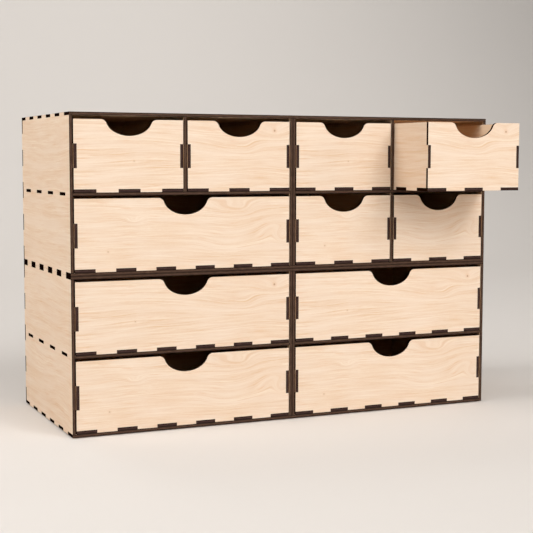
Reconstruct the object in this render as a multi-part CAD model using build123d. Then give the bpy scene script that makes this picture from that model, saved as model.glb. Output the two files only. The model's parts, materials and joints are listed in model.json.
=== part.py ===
from build123d import *
import os

# Drawer cabinet of laser-cut sheet: four equal boxes, two wide and two high, holding eleven drawers.
# Millimetres. X runs to the right, Y to the rear, Z up. The origin is the centre of the cabinet's
# footprint, on the surface that it stands on.

# Sheet stock
sheet = 3.0

# One box of the cabinet
box_width = 224.0
box_height = 150.0
box_depth = 187.0

# Fingers along the edges of a box: how many equal steps each edge is divided into
depth_steps = 11
height_steps = 9
width_steps = 13

# Tabs of shelves and dividers, which pass through slots in the panels around them
tab_length = 20.0
tab_margin = 16.0
tab_count = 4

# Drawer clearances inside a bay
side_clearance = 0.75
top_clearance = 2.5
rear_clearance = 1.0

# The drawers of the top row are cut this much lower than the others
top_row_trim = 0.9

# Fingers along the edges of a drawer
drawer_depth_steps = 9
drawer_height_steps = 3
narrow_drawer_steps = 5
wide_drawer_steps = 11

# Finger scoop in each drawer front: half an ellipse, rounded at its mouth
scoop_width = 44.6
scoop_depth = 16.0
scoop_round = 6.0

# The drawer that stands open, and how far
open_drawer = "1d"
open_distance = 65.0

# Boxes: column from the left, level from the floor, bays above the shelf, bays below it
boxes = {
    "upper_left": (0, 1, 2, 1),
    "upper_right": (1, 1, 2, 2),
    "lower_left": (0, 0, 1, 1),
    "lower_right": (1, 0, 1, 1),
}

# Sizes that follow from the values above
levels = 1 + max(level for column, level, bays_above, bays_below in boxes.values())
inner_width = box_width - 2 * sheet
inner_depth = box_depth - sheet
bay_height = (box_height - 3 * sheet) / 2
narrow_bay_width = (inner_width - sheet) / 2
divider_left = sheet + narrow_bay_width
divider_right = divider_left + sheet
shelf_bottom = sheet + bay_height
shelf_top = shelf_bottom + sheet
drawer_depth = inner_depth - rear_clearance
drawer_height = bay_height - top_clearance
scoop_bottom = drawer_height - scoop_depth


def steps(length, count, first):
    """Every second step of an edge, as (start, end) pairs, from step number first."""
    step = length / count
    return [(i * step, (i + 1) * step) for i in range(first, count, 2)]


def tabs(length):
    """Evenly spaced tabs along an edge, as (start, end) pairs."""
    pitch = (length - 2 * tab_margin - tab_length) / (tab_count - 1)
    starts = [tab_margin + i * pitch for i in range(tab_count)]
    return [(start, start + tab_length) for start in starts]


def middle_tab(low, high):
    """One tab in the middle of the stretch from low to high."""
    middle = (low + high) / 2
    return (middle - tab_length / 2, middle + tab_length / 2)


def along_x(spans, low, high):
    """Rectangles (x0, y0, x1, y1) over spans in x, from low to high in y."""
    return [(start, low, end, high) for start, end in spans]


def along_y(spans, low, high):
    """Rectangles (x0, y0, x1, y1) over spans in y, from low to high in x."""
    return [(low, start, high, end) for start, end in spans]


def rectangle(x0, y0, x1, y1):
    """Rectangle between two opposite corners."""
    return Pos((x0 + x1) / 2, (y0 + y1) / 2) * Rectangle(x1 - x0, y1 - y0)


def outline(blank, added=(), removed=()):
    """Flat outline: a blank rectangle with tabs added, then notches and slots removed."""
    face = rectangle(*blank)
    if added:
        face += [rectangle(*tab) for tab in added]
    if removed:
        face -= [rectangle(*notch) for notch in removed]
    return face


def lying(face, z):
    """Panel that lies flat, with its underside at z."""
    return extrude(Plane.XY.offset(z) * face, sheet)


def facing_front(face, y):
    """Panel that faces the front, with its front face at y."""
    return extrude(Plane.XZ.offset(-y - sheet) * face, sheet)


def facing_side(face, x):
    """Panel that faces the sides, with its left face at x."""
    return extrude(Plane.YZ.offset(x) * face, sheet)


def end_panel(z, divided):
    """Top or bottom of a box. It reaches the front and keeps all the corners."""
    side_notches = steps(box_depth, depth_steps, 1)
    back_notches = steps(box_width, width_steps, 1)
    removed = along_y(side_notches, 0, sheet)
    removed += along_y(side_notches, box_width - sheet, box_width)
    removed += along_x(back_notches, box_depth - sheet, box_depth)
    if divided:
        removed += along_y(tabs(box_depth), divider_left, divider_right)
    return lying(outline((0, 0, box_width, box_depth), removed=removed), z)


def side_panel(x):
    """Left or right side of a box, with four slots for the shelf."""
    end_notches = steps(box_depth, depth_steps, 0)
    back_notches = steps(box_height, height_steps, 0)
    removed = along_x(end_notches, 0, sheet)
    removed += along_x(end_notches, box_height - sheet, box_height)
    removed += along_y(back_notches, box_depth - sheet, box_depth)
    removed += along_x(tabs(box_depth), shelf_bottom, shelf_top)
    return facing_side(outline((0, 0, box_depth, box_height), removed=removed), x)


def back_panel(bays_above, bays_below):
    """Back of a box, with slots for the shelf and for the dividers."""
    end_notches = steps(box_width, width_steps, 0)
    side_notches = steps(box_height, height_steps, 1)
    removed = along_x(end_notches, 0, sheet)
    removed += along_x(end_notches, box_height - sheet, box_height)
    removed += along_y(side_notches, 0, sheet)
    removed += along_y(side_notches, box_width - sheet, box_width)
    removed += along_x(tabs(box_width), shelf_bottom, shelf_top)
    removed += along_y(divider_back_tabs(bays_above, bays_below), divider_left, divider_right)
    return facing_front(outline((0, 0, box_width, box_height), removed=removed), inner_depth)


def divider_back_tabs(bays_above, bays_below):
    """Tabs of the dividers into the back: one in each divided half of the box."""
    spans = []
    if bays_below == 2:
        spans.append(middle_tab(sheet, shelf_bottom))
    if bays_above == 2:
        spans.append(middle_tab(shelf_top, box_height - sheet))
    return spans


def shelf(bays_above, bays_below):
    """Shelf at mid height, tabbed into the sides and the back."""
    side_tabs = tabs(box_depth)
    added = along_y(side_tabs, 0, sheet)
    added += along_y(side_tabs, box_width - sheet, box_width)
    added += along_x(tabs(box_width), inner_depth, box_depth)
    removed = []
    if bays_above == 2 and bays_below == 2:
        removed.append((divider_left, box_depth / 2, divider_right, inner_depth))
    elif bays_above == 2:
        removed += along_y(tabs(box_depth), divider_left, divider_right)
    blank = (sheet, 0, box_width - sheet, inner_depth)
    return lying(outline(blank, added, removed), shelf_bottom)


def divider(bays_below):
    """Upright between two narrow bays: above the shelf only, or halved over it from top to bottom."""
    low = sheet if bays_below == 2 else shelf_top
    high = box_height - sheet
    end_tabs = tabs(box_depth)
    added = along_x(end_tabs, low - sheet, low)
    added += along_x(end_tabs, high, box_height)
    added += along_y(divider_back_tabs(2, bays_below), inner_depth, box_depth)
    removed = []
    if bays_below == 2:
        removed.append((0, shelf_bottom, box_depth / 2, shelf_top))
    return facing_side(outline((0, low, inner_depth, high), added, removed), divider_left)


def box_panels(bays_above, bays_below):
    """All panels of one box, its front lower left corner at the origin."""
    panels = {
        "top": end_panel(box_height - sheet, bays_above == 2),
        "bottom": end_panel(0, bays_below == 2),
        "left_side": side_panel(0),
        "right_side": side_panel(box_width - sheet),
        "back": back_panel(bays_above, bays_below),
        "shelf": shelf(bays_above, bays_below),
    }
    if bays_above == 2:
        panels["divider"] = divider(bays_below)
    return panels


def drawer_end(width, width_count, height):
    """Outline of a drawer's front or back: notched for the bottom and for the sides' fingers."""
    removed = along_x(steps(width, width_count, 0), 0, sheet)
    side_fingers = steps(height, drawer_height_steps, 1)
    removed += along_y(side_fingers, 0, sheet)
    removed += along_y(side_fingers, width - sheet, width)
    return outline((0, 0, width, height), removed=removed)


def drawer_front(width, width_count, height):
    """Front of a drawer, with a rounded finger scoop in the middle of its top edge."""
    scoop = Pos(width / 2, height) * Ellipse(scoop_width / 2, height - scoop_bottom)
    front = facing_front(drawer_end(width, width_count, height) - scoop, 0)
    mouth = front.edges().filter_by(Axis.Y).group_by(Axis.Z)[-1].sort_by(Axis.X)[1:3]
    return fillet(mouth, scoop_round)


def drawer_side(height):
    """Outline of a drawer's side: one finger at each end, notched for the bottom."""
    end_notches = steps(height, drawer_height_steps, 0)
    removed = along_x(steps(drawer_depth, drawer_depth_steps, 0), 0, sheet)
    removed += along_y(end_notches, 0, sheet)
    removed += along_y(end_notches, drawer_depth - sheet, drawer_depth)
    return outline((0, 0, drawer_depth, height), removed=removed)


def drawer_bottom(width, width_count):
    """Outline of a drawer's bottom, which keeps all the corners."""
    side_notches = steps(drawer_depth, drawer_depth_steps, 1)
    end_notches = steps(width, width_count, 1)
    removed = along_y(side_notches, 0, sheet)
    removed += along_y(side_notches, width - sheet, width)
    removed += along_x(end_notches, 0, sheet)
    removed += along_x(end_notches, drawer_depth - sheet, drawer_depth)
    return outline((0, 0, width, drawer_depth), removed=removed)


def drawer_panels(width, width_count, height):
    """Front, bottom, and the group of two sides and a back, front lower left corner at the origin."""
    bottom = lying(drawer_bottom(width, width_count), 0)
    left = facing_side(drawer_side(height), 0)
    right = facing_side(drawer_side(height), width - sheet)
    back = facing_front(drawer_end(width, width_count, height), drawer_depth - sheet)
    walls = Compound([left, right, back])
    return {"front": drawer_front(width, width_count, height), "bottom": bottom, "walls": walls}


def drawers_in_bay(column, floor, bays, row):
    """Drawers of one half of a box, numbered by row from the top and lettered from the left."""
    bay_width = narrow_bay_width if bays == 2 else inner_width
    width = bay_width - 2 * side_clearance
    width_count = narrow_drawer_steps if bays == 2 else wide_drawer_steps
    height = drawer_height - top_row_trim if row == 1 else drawer_height
    nodes = {}
    for bay in range(bays):
        letter = "abcd"[letters_used[row] + bay]
        pulled = open_distance if f"{row}{letter}" == open_drawer else 0
        left = (column - 1) * box_width + sheet + bay * (bay_width + sheet) + side_clearance
        place = Pos(left, -box_depth / 2 - pulled, floor)
        for name, solid in drawer_panels(width, width_count, height).items():
            nodes[f"drawer_{row}{letter}_{name}"] = place * solid
    letters_used[row] += bays
    return nodes


letters_used = {row: 0 for row in range(1, 2 * levels + 1)}
nodes = {}
for box_name, (column, level, bays_above, bays_below) in boxes.items():
    base = level * box_height
    corner = Pos((column - 1) * box_width, -box_depth / 2, base)
    for name, solid in box_panels(bays_above, bays_below).items():
        nodes[f"{box_name}_{name}"] = corner * solid
    upper_row = 2 * (levels - level) - 1
    nodes.update(drawers_in_bay(column, base + shelf_top, bays_above, upper_row))
    nodes.update(drawers_in_bay(column, base + sheet, bays_below, upper_row + 1))

os.makedirs("parts", exist_ok=True)
for name, solid in nodes.items():
    export_step(solid, f"parts/{name}.step")
print(len(nodes), "nodes")
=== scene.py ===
import json
import math
import bmesh
import bpy
from mathutils import Matrix, Vector


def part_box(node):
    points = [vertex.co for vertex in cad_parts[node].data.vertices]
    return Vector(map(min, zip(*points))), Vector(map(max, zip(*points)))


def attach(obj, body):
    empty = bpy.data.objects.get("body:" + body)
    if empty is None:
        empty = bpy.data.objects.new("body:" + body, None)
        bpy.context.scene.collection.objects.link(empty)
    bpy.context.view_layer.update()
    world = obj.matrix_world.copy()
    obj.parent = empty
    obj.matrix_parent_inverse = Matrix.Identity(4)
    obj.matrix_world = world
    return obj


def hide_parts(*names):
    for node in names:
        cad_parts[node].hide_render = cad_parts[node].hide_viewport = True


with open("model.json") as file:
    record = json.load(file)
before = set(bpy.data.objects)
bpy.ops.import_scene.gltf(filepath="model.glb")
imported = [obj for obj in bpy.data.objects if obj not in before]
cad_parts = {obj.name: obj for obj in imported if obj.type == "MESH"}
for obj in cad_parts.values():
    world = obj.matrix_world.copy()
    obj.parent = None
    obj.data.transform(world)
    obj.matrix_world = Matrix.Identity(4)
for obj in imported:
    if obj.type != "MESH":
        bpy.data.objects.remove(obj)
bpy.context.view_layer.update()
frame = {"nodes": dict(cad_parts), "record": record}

# ---- Camera: the photograph's place and angle, in metres and radians ----
# The photograph's side and focal length are in pixels, the sensor in millimetres.
PHOTO_SIZE = 533
PHOTO_FOCAL = 1236.4
SENSOR = 36.0
CAMERA_PLACE = Vector((-0.5195, -1.1939, 0.2557))
CAMERA_TURN = 0.41995
CAMERA_DIP = 0.08522
CAMERA_ROLL = 0.00144

# ---- Sizes read from the frame, in metres ----
BOX_LOW, BOX_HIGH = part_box("upper_right_back")
BOX_WIDTH = BOX_HIGH.x - BOX_LOW.x
BOX_HEIGHT = BOX_HIGH.z - BOX_LOW.z
SHEET = BOX_HIGH.y - BOX_LOW.y
CABINET_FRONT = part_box("upper_right_top")[0].y
MIDDLE = (0.0, 0.0, BOX_HEIGHT)
DRAWER_FINGERS = 3

# ---- Boards: mesh cleaning and broken edges, in metres and radians ----
MERGE = 1e-6
FLAT_ANGLE = 0.002
SHARP_ANGLE = 0.5
EDGE_WEAR = 0.00005
INSIDE = 1e-5
OUTER_REACH = 0.001
SQUARE_ON = 0.9
SLANTED = 0.3
MM = 1000.0

# ---- Order of a board's materials ----
OUTER_FACE = 0
FRONT_EDGE = 1
# Slot of the near-black edge finish: painted shade on cut edges that don't face the front and on the
# broken edges.
OTHER_EDGE_PAINTED_SHADE = 2
INNER_FACE = 3

# ---- Colours and tints, linear ----
VENEER_DARK = (0.655, 0.452, 0.300, 1)
VENEER_PALE = (0.762, 0.630, 0.502, 1)
VENEER_TAN = (0.660, 0.405, 0.240, 1)
VENEER_ROSE = (0.740, 0.605, 0.490, 1)
PIN_KNOT = (0.360, 0.200, 0.120, 1)
FRONT_TINT = (0.985, 0.980, 0.970)
OUTER_TINT = (1.0, 0.97, 0.93)
# Warmer, deeper tint on the faces inside the cabinet and the drawers: painted shade of the bays and
# drawer insides.
INNER_PAINTED_SHADE_TINT = (1.10, 1.02, 0.90)
# Darker tint on the outer faces of the drawer walls and bottoms: painted shade.
WALL_PAINTED_SHADE_TINT = (0.93, 0.89, 0.84)
# The side edge tints are near black. They are painted shade on every cut edge that does not face the
# front, and on the broken edges. The front edge tints are the char's own colour.
CARCASS_EDGE_FRONT = (1.22, 0.70, 0.48)
CARCASS_EDGE_SIDE_PAINTED_SHADE = (0.10, 0.03, 0.02)
DRAWER_EDGE_FRONT = (0.78, 0.44, 0.37)
DRAWER_EDGE_SIDE_PAINTED_SHADE = (0.16, 0.04, 0.01)
STAGE_PALE = (0.622, 0.580, 0.539, 1)
STAGE_DARKER = 0.985

# ---- Figure of the veneer ----
# Each feature is its length along the grain and its width across it, in millimetres, and how
# strongly the board's seed shifts it, so that the features of one board don't line up.
SLOW_WAVES = (150, 60, 1.0)
QUICK_WAVES = (45, 20, 1.0)
PATCHES = (40, 12, 5.0)
BANDS = (120, 10, 1.0)
LINES = (130, 2.8, 1.0)
STREAKS = (35, 1.1, 3.0)
FIBRES = (3.5, 0.3, 1.0)
DASHES = (22, 0.9, 8.0)
BLOTCHES = (60, 6, 9.0)
# How far the waves bend the grain, in millimetres, and how strongly each feature colours the wood.
SLOW_LIFT = 20.0
QUICK_LIFT = 3.0
MID_TONE = 0.5
BAND_STRENGTH = 0.7
LINE_STRENGTH = 2.1
STREAK_STRENGTH = 1.7
FIBRE_STRENGTH = 0.9
DASH_STRENGTH = 0.6
BLOTCH_STRENGTH = 0.5
FRONT_CONTRAST = 1.0
PLAIN_CONTRAST = 0.75
VENEER_SHEEN = 0.3
VENEER_RELIEF = 0.00005
# Each swirl bends the grain around a point, in millimetres from a box's lower left corner:
# (across, up, length to the left, length to the right, half height, lift).
SWIRLS = [
    (172, 118, 45, 16, 9, 9),
    (204, 135, 16, 16, 12, 6),
    (204, 135, 5, 5, 3, 3),
    (61, 50, 9, 9, 3.5, 5),
    (168, 60, 40, 13, 7, 7),
    (213, 34, 7, 7, 7, 12),
    (150, 24, 40, 40, 12, 8),
    (205, 42, 20, 20, 9, -6),
]
# Each pin knot, in the same place and unit: (across, up, radius, darkness).
PIN_KNOTS = [
    (204.3, 134.9, 1.5, 0.75),
    (61.3, 105.3, 1.0, 0.45),
    (35.5, 21.6, 1.2, 0.45),
]
HALO_REACH = 2.6
HALO_STRENGTH = 0.4
CORE_REACH = 0.3

# ---- Burnt cut edges: places through the sheet are shares of its thickness from the middle ----
PLY_FACE = 0.042
PLY_CORE = 0.076
GLUE_PLACE = 0.17
GLUE_HALF = 0.035
GLUE_DARKNESS = 0.55
PLY_BLUR = 0.02
RIM_START = 0.38
RIM_END = 0.48
RIM_DARKNESS = 0.45
# Size of the char and of the striations along the edge, in millimetres.
CHAR = (6, 6, 1.0)
STRIATION = (0.35, 0.35, 1.0)
CHAR_STEP = 9.0
EDGE_RELIEF = 0.00008

# ---- Stage: a floor that sweeps up into a backdrop, in metres ----
# It lies a hair below the object, which gives the object its dark line of contact.
STAGE_HALF_WIDTH = 3.4
STAGE_FRONT = -2.6
STAGE_BEND = 1.2
STAGE_RADIUS = 2.2
STAGE_TOP = 5.0
STAGE_STEPS = 24
CONTACT_GAP = 0.0008
MOTTLE = (0.5, 0.5, 2.0)

# ---- Lights, square and white, in metres, degrees and watts ----
# Those on the object: (name, azimuth, elevation, distance, size, power).
OBJECT_LIGHTS = [
    ("key_right", 30, 40, 3.6, 1.4, 46.0),
    ("key_front", 0, 40, 3.6, 1.4, 20.0),
    ("key_left", -30, 40, 3.6, 1.4, 17.0),
    ("low_front", 15, 22, 3.6, 1.4, 45.0),
    ("low_right", 60, 15, 2.5, 1.0, 12.0),
    ("high_left", -60, 65, 2.5, 1.0, 11.0),
    ("side_left", -60, 40, 2.5, 1.0, 4.0),
]
# Those on the floor and the backdrop: (name, place, target, size, power).
STAGE_LIGHTS = [
    ("left", (-3.0, 0.2, 1.8), (-0.5, 2.5, 0.8), 1.4, 76.0),
    ("floor_left", (-0.5, -0.35, 0.8), (-0.5, -0.35, 0.0), 0.3, 0.95),
    ("backdrop", (0.95, 1.2, 2.4), (1.2, 3.2, 0.8), 1.2, 26.0),
    ("overhead", (-0.4, 1.0, 1.6), (-0.4, 0.75, 0.0), 0.4, 3.5),
]
# The surround beyond the stage: its colour, how much it lights, and how much paler it looks itself.
SURROUND = (1.0, 0.97, 0.94, 1)
SURROUND_LIGHT = 0.02
SURROUND_SEEN = 0.55


class Shader:
    """A material's node tree, with short calls for the nodes that the finishes use."""

    def __init__(self, name):
        self.material = bpy.data.materials.new(name)
        self.material.use_nodes = True
        self.tree = self.material.node_tree
        self.surface = self.tree.nodes["Principled BSDF"]

    def put(self, socket, value):
        """Sets a socket to a number, a colour or another node's output."""
        if isinstance(value, bpy.types.NodeSocket):
            self.tree.links.new(value, socket)
        else:
            socket.default_value = value

    def finish(self, name, value):
        """Sets one of the surface's own inputs."""
        self.put(self.surface.inputs[name], value)

    def add(self, kind, output, settings=None, **inputs):
        """Adds a node, fills its named inputs and returns one of its outputs."""
        node = self.tree.nodes.new(kind)
        for key, value in (settings or {}).items():
            setattr(node, key, value)
        for key, value in inputs.items():
            self.put(node.inputs[key], value)
        return node.outputs[output]

    def math(self, operation, *values):
        """A Math node."""
        node = self.tree.nodes.new("ShaderNodeMath")
        node.operation = operation
        for socket, value in zip(node.inputs, values):
            self.put(socket, value)
        return node.outputs[0]

    def vector(self, operation, *values, output="Vector"):
        """A Vector Math node."""
        node = self.tree.nodes.new("ShaderNodeVectorMath")
        node.operation = operation
        for socket, value in zip(node.inputs, values):
            self.put(socket, value)
        return node.outputs[output]

    def part(self, vector, axis):
        """One of a vector's three numbers."""
        return self.add("ShaderNodeSeparateXYZ", axis, Vector=vector)

    def attribute(self, name, output="Vector"):
        """A value stored on the mesh."""
        return self.add("ShaderNodeAttribute", output, {"attribute_name": name})

    def noise(self, place, feature, detail=2.0, roughness=0.5):
        """Noise with features of a size along X and along Y, and a rate of change along Z."""
        length, width, rate = feature
        stretched = self.vector("MULTIPLY", place, (1 / length, 1 / width, rate))
        settings = {"Vector": stretched, "Scale": 1.0, "Detail": detail, "Roughness": roughness}
        return self.add("ShaderNodeTexNoise", "Fac", **settings)

    def centred(self, noise):
        """Noise moved from around a half to around zero."""
        return self.math("SUBTRACT", noise, 0.5)

    def spread(self, value, low, high, to_low=0.0, to_high=1.0):
        """Maps a value smoothly from one range to another, and clamps it."""
        node = self.tree.nodes.new("ShaderNodeMapRange")
        node.interpolation_type = "SMOOTHSTEP"
        for key, setting in (("Value", value), ("From Min", low), ("From Max", high)):
            self.put(node.inputs[key], setting)
        self.put(node.inputs["To Min"], to_low)
        self.put(node.inputs["To Max"], to_high)
        return node.outputs["Result"]

    def mix(self, factor, low, high):
        """Mixes two colours."""
        node = self.tree.nodes.new("ShaderNodeMix")
        node.data_type = "RGBA"
        self.put(node.inputs["Factor"], factor)
        self.put(node.inputs[6], low)
        self.put(node.inputs[7], high)
        return node.outputs[2]

    def bump(self, height, distance, strength):
        """Relief in metres, set on the surface's normal."""
        settings = {"Height": height, "Distance": distance, "Strength": strength}
        self.finish("Normal", self.add("ShaderNodeBump", "Normal", **settings))


def grain_lift(shader, place, swirls):
    """How far the grain is bent sideways: slow waves everywhere, and more around each swirl."""
    slow = shader.noise(place, SLOW_WAVES, detail=1.0)
    quick = shader.noise(place, QUICK_WAVES, detail=2.0)
    lift = shader.math("MULTIPLY_ADD", slow, SLOW_LIFT, -SLOW_LIFT / 2)
    lift = shader.math("MULTIPLY_ADD", quick, QUICK_LIFT, lift)
    along = shader.part(place, "X")
    upward = shader.part(place, "Y")
    for across, up, left_length, right_length, half_height, height in swirls:
        offset = shader.math("SUBTRACT", along, float(across))
        on_left = shader.math("MULTIPLY", offset, -1 / left_length)
        on_right = shader.math("MULTIPLY", offset, 1 / right_length)
        beside = shader.math("MAXIMUM", on_left, on_right)
        above = shader.math("MULTIPLY", shader.math("SUBTRACT", upward, float(up)), 1 / half_height)
        square = shader.math("MULTIPLY_ADD", above, above, shader.math("MULTIPLY", beside, beside))
        fall = shader.math("EXPONENT", shader.math("MULTIPLY", square, -1.0))
        lift = shader.math("MULTIPLY_ADD", fall, float(height), lift)
    return lift


def wood_tone(shader, grain, fibres, lines, strength):
    """How pale the wood is: broad bands, growth lines and streaks, and fine fibres."""
    bands = shader.noise(grain, BANDS, detail=2.0)
    streaks = shader.noise(grain, STREAKS, detail=2.0, roughness=0.6)
    figure = shader.math("MULTIPLY", shader.centred(lines), LINE_STRENGTH)
    figure = shader.math("MULTIPLY_ADD", shader.centred(streaks), STREAK_STRENGTH, figure)
    tone = shader.math("MULTIPLY_ADD", shader.centred(bands), BAND_STRENGTH, MID_TONE)
    tone = shader.math("MULTIPLY_ADD", figure, strength, tone)
    return shader.math("MULTIPLY_ADD", shader.centred(fibres), FIBRE_STRENGTH, tone)


def with_stains(shader, colour, grain, strength):
    """Tan dashes and rose blotches over the wood's colour."""
    dashes = shader.noise(grain, DASHES, detail=1.0)
    dash = shader.math("MULTIPLY", shader.spread(dashes, 0.60, 0.74, 0.0, DASH_STRENGTH), strength)
    colour = shader.mix(dash, colour, VENEER_TAN)
    blotches = shader.noise(grain, BLOTCHES, detail=3.0)
    return shader.mix(shader.spread(blotches, 0.40, 0.65, 0.0, BLOTCH_STRENGTH), colour, VENEER_ROSE)


def with_pin_knots(shader, colour, place, pin_knots):
    """Small dark dots in a tan halo over the wood's colour."""
    flat = shader.vector("MULTIPLY", place, (1.0, 1.0, 0.0))
    for across, up, radius, darkness in pin_knots:
        distance = shader.vector("DISTANCE", flat, (across, up, 0.0), output="Value")
        halo = shader.spread(distance, HALO_REACH * radius, radius, 0.0, HALO_STRENGTH * darkness)
        core = shader.spread(distance, radius, CORE_REACH * radius, 0.0, darkness)
        colour = shader.mix(core, shader.mix(halo, colour, VENEER_TAN), PIN_KNOT)
    return colour


def veneer(name, contrast, tint, swirls=(), pin_knots=()):
    """Pale sanded veneer, with more figure in some patches than in others."""
    shader = Shader(name)
    place = shader.attribute("board")
    lift = grain_lift(shader, place, swirls)
    rise = shader.add("ShaderNodeCombineXYZ", "Vector", X=0.0, Y=lift, Z=0.0)
    grain = shader.vector("ADD", place, rise)
    patches = shader.noise(place, PATCHES, detail=2.0)
    strength = shader.spread(patches, 0.30, 0.70, 0.6 * contrast, 1.4 * contrast)
    lines = shader.noise(grain, LINES, detail=5.0, roughness=0.72)
    fibres = shader.noise(place, FIBRES, detail=2.0, roughness=0.7)
    tone = wood_tone(shader, grain, fibres, lines, strength)
    colour = shader.mix(tone, VENEER_DARK, VENEER_PALE)
    colour = with_stains(shader, colour, grain, strength)
    colour = with_pin_knots(shader, colour, place, pin_knots)
    # The tint multiplies the colour; on inner faces and on drawer walls and bottoms it is painted
    # shade.
    shader.finish("Base Color", shader.vector("MULTIPLY", colour, tint))
    shader.finish("Roughness", shader.spread(fibres, 0.3, 0.7, 0.62, 0.76))
    shader.finish("Specular IOR Level", VENEER_SHEEN)
    shader.bump(shader.math("MULTIPLY_ADD", lines, 0.5, fibres), VENEER_RELIEF, 0.6)
    return shader.material


def edge_tone(shader, from_middle, from_glue, char, striation):
    """Brightness of a cut edge: a core and face plies between dark glue lines, charred."""
    core = shader.spread(from_middle, GLUE_PLACE + PLY_BLUR, GLUE_PLACE - PLY_BLUR, PLY_FACE, PLY_CORE)
    glue = shader.spread(from_glue, 0.0, GLUE_HALF, GLUE_DARKNESS, 1.0)
    rim = shader.spread(from_middle, RIM_START, RIM_END, 1.0, RIM_DARKNESS)
    soot = shader.spread(char, 0.30, 0.70, 0.55, 1.45)
    scratch = shader.spread(striation, 0.35, 0.75, 1.0, 0.75)
    tone = core
    for factor in (glue, rim, soot, scratch):
        tone = shader.math("MULTIPLY", tone, factor)
    return tone


def burnt_edge(name, tint):
    """Laser-cut edge of plywood, with fine striations and no sheen. Its tint sets its colour; a
    near-black tint paints shade on it.
    """
    shader = Shader(name)
    place = shader.attribute("board")
    depth = shader.attribute("ply", "Fac")
    flat = shader.vector("MULTIPLY", place, (1.0, 1.0, 0.0))
    layer = shader.math("MULTIPLY", depth, CHAR_STEP)
    shift = shader.add("ShaderNodeCombineXYZ", "Vector", X=shader.part(place, "Z"), Y=0.0, Z=layer)
    char = shader.noise(shader.vector("ADD", flat, shift), CHAR, detail=3.0, roughness=0.6)
    striation = shader.noise(flat, STRIATION, detail=1.0)
    from_middle = shader.math("ABSOLUTE", shader.centred(depth))
    from_glue = shader.math("ABSOLUTE", shader.math("SUBTRACT", from_middle, GLUE_PLACE))
    tone = edge_tone(shader, from_middle, from_glue, char, striation)
    colour = shader.add("ShaderNodeCombineColor", "Color", Red=tone, Green=tone, Blue=tone)
    shader.finish("Base Color", shader.vector("MULTIPLY", colour, tint))
    shader.finish("Roughness", shader.spread(char, 0.3, 0.7, 0.72, 0.90))
    shader.finish("Specular IOR Level", 0.0)
    relief = shader.math("MULTIPLY_ADD", striation, 0.4, shader.spread(from_glue, 0.0, GLUE_HALF))
    shader.bump(relief, EDGE_RELIEF, 0.7)
    return shader.material


def studio_paper():
    """Pale, slightly mottled studio paper."""
    shader = Shader("studio_paper")
    place = shader.add("ShaderNodeTexCoord", "Object")
    mottle = shader.noise(place, MOTTLE, detail=3.0)
    darker = tuple(STAGE_DARKER * value for value in STAGE_PALE[:3]) + (1,)
    shader.finish("Base Color", shader.mix(mottle, STAGE_PALE, darker))
    shader.finish("Roughness", 0.8)
    return shader.material


def thin_axis(low, high):
    """The axis along which a panel is one sheet thick."""
    sizes = high - low
    return min(range(3), key=lambda axis: sizes[axis])


def wall_name(point, low, high):
    """Which wall a point inside a drawer's sheet is in: the sides' fingers are the middle third."""
    at_back = point.y > high.y - SHEET
    at_left = point.x < low.x + SHEET
    at_right = point.x > high.x - SHEET
    third = int(DRAWER_FINGERS * (point.z - low.z) / (high.z - low.z))
    if at_back and (third != 1 or not (at_left or at_right)):
        return "back"
    return "left_side" if at_left else "right_side"


def in_wall(node, wall):
    """Test for the points of one wall in a node that holds two sides and a back."""
    low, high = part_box(node)

    def test(point):
        return wall_name(point, low, high) == wall

    return test


def panel_mesh(node, keep=None):
    """Clean copy of a node's mesh, or of the faces whose inner side passes the test keep."""
    mesh = bmesh.new()
    mesh.from_mesh(frame["nodes"][node].data)
    if keep:
        others = [f for f in mesh.faces if not keep(f.calc_center_median() - INSIDE * f.normal)]
        bmesh.ops.delete(mesh, geom=others, context="FACES")
    bmesh.ops.remove_doubles(mesh, verts=mesh.verts, dist=MERGE)
    bmesh.ops.dissolve_limit(mesh, angle_limit=FLAT_ANGLE, verts=mesh.verts, edges=mesh.edges)
    return mesh


def break_edges(mesh, axis, is_outer):
    """Sorts the faces into veneer and cut edges, and breaks every outer edge very slightly. Cut edges
    that don't face the front, and the faces of the broken edges, get the slot of the near-black edge
    finish, which paints shade.
    """
    for face in mesh.faces:
        # Cut edges that face the front keep the char's colour; all others get the slot that paints
        # shade.
        face.material_index = FRONT_EDGE if face.normal.y < -SQUARE_ON else OTHER_EDGE_PAINTED_SHADE
        if abs(face.normal[axis]) > SQUARE_ON:
            face.material_index = OUTER_FACE if is_outer(face) else INNER_FACE
    sharp = [e for e in mesh.edges if e.is_convex and e.calc_face_angle() > SHARP_ANGLE]
    shape = {"offset": EDGE_WEAR, "segments": 1, "affect": "EDGES", "clamp_overlap": True}
    # The broken edges take the near-black edge finish. This gives a thin dark line along every outer
    # edge, partly the char of the cut and partly painted shade.
    bmesh.ops.bevel(mesh, geom=sharp, material=OTHER_EDGE_PAINTED_SHADE, **shape)


def body_box(body):
    """Lowest and highest corner of all the nodes of a body."""
    boxes = [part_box(node) for node in frame["record"]["behaviour"]["bodies"][body]]
    low = Vector(min(box[0][i] for box in boxes) for i in range(3))
    high = Vector(max(box[1][i] for box in boxes) for i in range(3))
    return low, high


def outward(body):
    """Test for the faces on the outside of a body: at its surface, and looking away from it."""
    low, high = body_box(body)

    def is_outer(face):
        place = face.calc_center_median()
        for axis in range(3):
            if abs(face.normal[axis]) > SLANTED:
                reach = high[axis] - place[axis] if face.normal[axis] > 0 else place[axis] - low[axis]
                if reach < OUTER_REACH:
                    return True
        return False

    return is_outer


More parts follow.
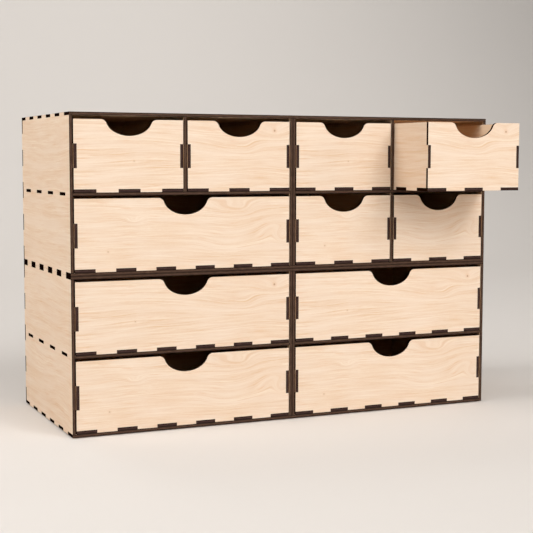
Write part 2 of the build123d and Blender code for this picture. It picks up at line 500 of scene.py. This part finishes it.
def store_places(mesh, axis, low, high, seed):
    """Stores where each point lies on its board: along and across the grain in millimetres, with
    the seed of the board's figure, and how far through the sheet it is."""
    along, across = {0: (1, 2), 1: (0, 2), 2: (0, 1)}[axis]
    middle = (low + high) / 2
    origin = Vector((0.0 if middle.x > 0 else -BOX_WIDTH, CABINET_FRONT, 0.0))
    origin.z = BOX_HEIGHT if middle.z > BOX_HEIGHT else 0.0
    places, depths = [], []
    for vertex in mesh.vertices:
        offset = (vertex.co - origin) * MM
        places.extend((offset[along], offset[across], seed))
        depths.append((vertex.co[axis] - low[axis]) / (high[axis] - low[axis]))
    mesh.attributes.new("board", "FLOAT_VECTOR", "POINT").data.foreach_set("vector", places)
    mesh.attributes.new("ply", "FLOAT", "POINT").data.foreach_set("value", depths)


def dress(name, node, body, finishes, seed, keep=None):
    """One board of the object: a copy of its solid with broken edges, veneer and burnt edges. Burnt
    edges that don't face the front are painted near black as shade.
    """
    edit = panel_mesh(node, keep)
    corners = [vertex.co for vertex in edit.verts]
    low = Vector(min(c[i] for c in corners) for i in range(3))
    high = Vector(max(c[i] for c in corners) for i in range(3))
    axis = thin_axis(low, high)
    break_edges(edit, axis, outward(body))
    mesh = bpy.data.meshes.new(name)
    edit.to_mesh(mesh)
    edit.free()
    store_places(mesh, axis, low, high, seed)
    piece = bpy.data.objects.new(name, mesh)
    bpy.context.scene.collection.objects.link(piece)
    for finish in finishes:
        mesh.materials.append(finish)
    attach(piece, body)
    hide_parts(node)


def board_finishes():
    """The materials of the cabinet's panels, of the drawer fronts and of the other drawer boards."""
    inner = veneer("inner_veneer_painted_shade", PLAIN_CONTRAST, INNER_PAINTED_SHADE_TINT)
    outer = veneer("outer_veneer", PLAIN_CONTRAST, OUTER_TINT)
    wall = veneer("drawer_veneer_painted_shade", PLAIN_CONTRAST, WALL_PAINTED_SHADE_TINT)
    front = veneer("front_veneer", FRONT_CONTRAST, FRONT_TINT, SWIRLS, PIN_KNOTS)
    # The side finishes are near black: painted shade on edges that don't face the front.
    carcass_edges = (
        burnt_edge("edge_front", CARCASS_EDGE_FRONT),
        burnt_edge("edge_side_painted_shade", CARCASS_EDGE_SIDE_PAINTED_SHADE),
    )
    drawer_edges = (
        burnt_edge("drawer_edge_front", DRAWER_EDGE_FRONT),
        burnt_edge("drawer_edge_side", DRAWER_EDGE_SIDE_PAINTED_SHADE),
    )
    return (outer, *carcass_edges, inner), (front, *drawer_edges, inner), (wall, *drawer_edges, inner)


def board_seed(body, number):
    """A number that gives each board a figure of its own."""
    return 10.0 + 3.7 * number + 1.3 * len(body) + (ord(body[-1]) % 5)


def dress_all():
    """Every panel of the cabinet and every board of the drawers. All drawer fronts share a figure."""
    carcass, drawer_front, drawer_wall = board_finishes()
    for body, nodes in frame["record"]["behaviour"]["bodies"].items():
        for number, node in enumerate(nodes):
            seed = board_seed(body, number)
            if body == "cabinet":
                dress(f"{node}_board", node, body, carcass, seed)
            elif node.endswith("_front"):
                dress(f"{node}_board", node, body, drawer_front, 0.0)
            elif node.endswith("_bottom"):
                dress(f"{node}_board", node, body, drawer_wall, seed)
            else:
                for step, wall in enumerate(("left_side", "right_side", "back")):
                    name = f"{body}_{wall}_board"
                    keep = in_wall(node, wall)
                    dress(name, node, body, drawer_wall, seed + step, keep)


def add_camera():
    """The photograph's view."""
    data = bpy.data.cameras.new("camera")
    data.sensor_width = SENSOR
    data.lens = PHOTO_FOCAL * SENSOR / PHOTO_SIZE
    camera = bpy.data.objects.new("camera", data)
    bpy.context.scene.collection.objects.link(camera)
    turn = Matrix.Rotation(-CAMERA_TURN, 4, "Z") @ Matrix.Rotation(math.pi / 2 - CAMERA_DIP, 4, "X")
    camera.matrix_world = Matrix.Translation(CAMERA_PLACE) @ turn @ Matrix.Rotation(CAMERA_ROLL, 4, "Z")
    bpy.context.scene.camera = camera


def add_stage():
    """Floor that sweeps up into a backdrop behind the object."""
    profile = [(STAGE_FRONT, 0.0), (STAGE_BEND, 0.0)]
    for step in range(1, STAGE_STEPS + 1):
        angle = step * math.pi / 2 / STAGE_STEPS
        away = STAGE_BEND + STAGE_RADIUS * math.sin(angle)
        profile.append((away, STAGE_RADIUS * (1 - math.cos(angle))))
    profile.append((STAGE_BEND + STAGE_RADIUS, STAGE_TOP))
    sides = (-STAGE_HALF_WIDTH, STAGE_HALF_WIDTH)
    points = [(x, y, z - CONTACT_GAP) for y, z in profile for x in sides]
    faces = [(2 * i, 2 * i + 1, 2 * i + 3, 2 * i + 2) for i in range(len(profile) - 1)]
    mesh = bpy.data.meshes.new("studio_sweep")
    mesh.from_pydata(points, [], faces)
    for polygon in mesh.polygons:
        polygon.use_smooth = True
    mesh.materials.append(studio_paper())
    sweep = bpy.data.objects.new("studio_sweep", mesh)
    bpy.context.scene.collection.objects.link(sweep)


def around(azimuth, elevation, distance):
    """A place seen from the middle of the object: azimuth from the front to the right, in degrees."""
    turn, rise = math.radians(azimuth), math.radians(elevation)
    flat = distance * math.cos(rise)
    return (flat * math.sin(turn), -flat * math.cos(turn), MIDDLE[2] + distance * math.sin(rise))


def add_softbox(name, place, target, size, power):
    """A square area light that points at the target."""
    data = bpy.data.lights.new(name, "AREA")
    data.shape = "SQUARE"
    data.size = size
    data.energy = power
    light = bpy.data.objects.new(name, data)
    bpy.context.scene.collection.objects.link(light)
    aim = (Vector(target) - Vector(place)).to_track_quat("-Z", "Y")
    light.matrix_world = Matrix.Translation(place) @ aim.to_matrix().to_4x4()


def add_lights():
    """Soft studio light: large lights on the object, and washes on the floor and the backdrop."""
    for name, azimuth, elevation, distance, size, power in OBJECT_LIGHTS:
        add_softbox(name, around(azimuth, elevation, distance), MIDDLE, size, power)
    for name, place, target, size, power in STAGE_LIGHTS:
        add_softbox(name, place, target, size, power)


def add_surround():
    """Pale walls beyond the stage. They light the scene only faintly."""
    world = bpy.data.worlds.new("surround")
    world.use_nodes = True
    bpy.context.scene.world = world
    nodes, links = world.node_tree.nodes, world.node_tree.links
    seen = nodes.new("ShaderNodeLightPath")
    strength = nodes.new("ShaderNodeMath")
    strength.operation = "MULTIPLY_ADD"
    strength.inputs[1].default_value = SURROUND_SEEN
    strength.inputs[2].default_value = SURROUND_LIGHT
    background = nodes["Background"]
    background.inputs["Color"].default_value = SURROUND
    links.new(seen.outputs["Is Camera Ray"], strength.inputs[0])
    links.new(strength.outputs[0], background.inputs["Strength"])


add_camera()
bpy.context.scene.view_settings.view_transform = "Standard"
dress_all()
add_stage()
add_lights()
add_surround()
